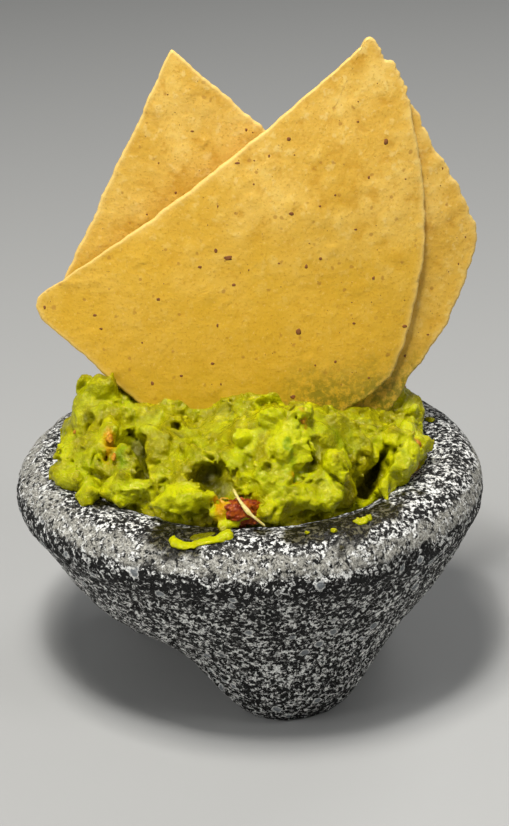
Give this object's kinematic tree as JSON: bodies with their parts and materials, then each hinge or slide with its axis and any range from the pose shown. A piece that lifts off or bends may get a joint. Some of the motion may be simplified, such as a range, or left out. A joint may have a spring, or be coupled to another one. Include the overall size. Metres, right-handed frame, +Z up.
{
  "type": "guacamole in a three-legged stone mortar bowl",
  "caption": "Chunky guacamole heaped over the rim of a speckled three-legged stone mortar bowl, with large corn tortilla chips standing in it",
  "frame": {"origin": "on the surface the bowl stands on, under the bowl's axis", "axes": "+Z up; -Y is the front, the side the picture looks at, with one leg; +X is right as seen from the front"},
  "size_m": [0.1199, 0.1198, 0.1612],
  "materials": {
    "stone": "matte speckled grey granite, lighter on the worn rim",
    "mash": "wet, lumpy yellow-green avocado mash",
    "corn_chip": "dry pale yellow fried corn with dark flecks",
    "tomato": "wet red tomato flesh"
  },
  "bodies": {
    "root": {"bowl": "stone", "guacamole": "mash", "chip_front": "corn_chip", "chip_right": "corn_chip", "chip_back_left": "corn_chip", "tomato_piece": "tomato"}
  },
  "joints": []
}
